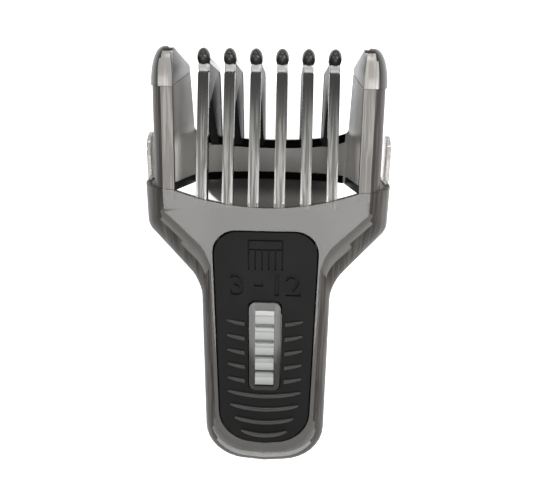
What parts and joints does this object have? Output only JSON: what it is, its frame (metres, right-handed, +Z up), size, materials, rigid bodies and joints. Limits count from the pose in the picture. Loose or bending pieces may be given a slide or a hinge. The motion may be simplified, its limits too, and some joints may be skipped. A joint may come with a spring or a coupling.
{
  "type": "hair clipper guide comb",
  "caption": "Adjustable guide comb for a hair clipper: smoked basket of slim teeth with dark tips, funnel, grip shank, ribbed thumb panel and sprung release button.",
  "frame": {"origin": "centre of the bounding box on the surface that the comb lies on", "axes": "+X to the comb's right as seen on its thumb panel, +Y along the comb towards its tooth tips, +Z up, out of the thumb panel's side"},
  "size_m": [0.0478, 0.0874, 0.0344],
  "materials": {
    "smoked_polycarbonate": "polished clear smoke-grey polycarbonate",
    "dark_tip_plastic": "satin dark grey moulding",
    "black_panel_plastic": "fine spark-eroded matt black",
    "clear_polycarbonate": "polished clear",
    "natural_acetal": "satin natural acetal",
    "spring_steel": "bright drawn"
  },
  "bodies": {
    "comb": {"cheek_left": "smoked_polycarbonate", "cheek_right": "smoked_polycarbonate", "guard_cap_left": "dark_tip_plastic", "guard_cap_right": "dark_tip_plastic", "guard_left": "smoked_polycarbonate", "guard_right": "smoked_polycarbonate", "latch_pin": "spring_steel", "rear_apron": "smoked_polycarbonate", "rear_bow": "smoked_polycarbonate", "return_spring": "spring_steel", "shank_shell": "smoked_polycarbonate", "slide_rail_left": "smoked_polycarbonate", "slide_rail_right": "smoked_polycarbonate", "thumb_panel": "black_panel_plastic", "tooth_1": "smoked_polycarbonate", "tooth_2": "smoked_polycarbonate", "tooth_3": "smoked_polycarbonate", "tooth_4": "smoked_polycarbonate", "tooth_5": "smoked_polycarbonate", "tooth_6": "smoked_polycarbonate", "tooth_tip_1": "dark_tip_plastic", "tooth_tip_2": "dark_tip_plastic", "tooth_tip_3": "dark_tip_plastic", "tooth_tip_4": "dark_tip_plastic", "tooth_tip_5": "dark_tip_plastic", "tooth_tip_6": "dark_tip_plastic"},
    "button": {"length_button": "clear_polycarbonate"},
    "latch": {"latch_lever": "natural_acetal"}
  },
  "joints": [
    {"name": "button_press", "type": "slide", "parent": "comb", "child": "button", "axis": [0, 0.3087, -0.9512], "range_m": [0, 0.0009], "stiffness_N_per_m": 600, "springref_m": -0.0007},
    {"name": "latch_rock", "type": "hinge", "parent": "comb", "child": "latch", "pos_m": [0, -0.00558, 0.02056], "axis": [1, 0, 0], "range_deg": [0, 4], "deforming": ["return_spring"]}
  ],
  "couplings": [
    {"joint": "latch_rock", "follows": "button_press", "rad_per_m": 76.923}
  ]
}
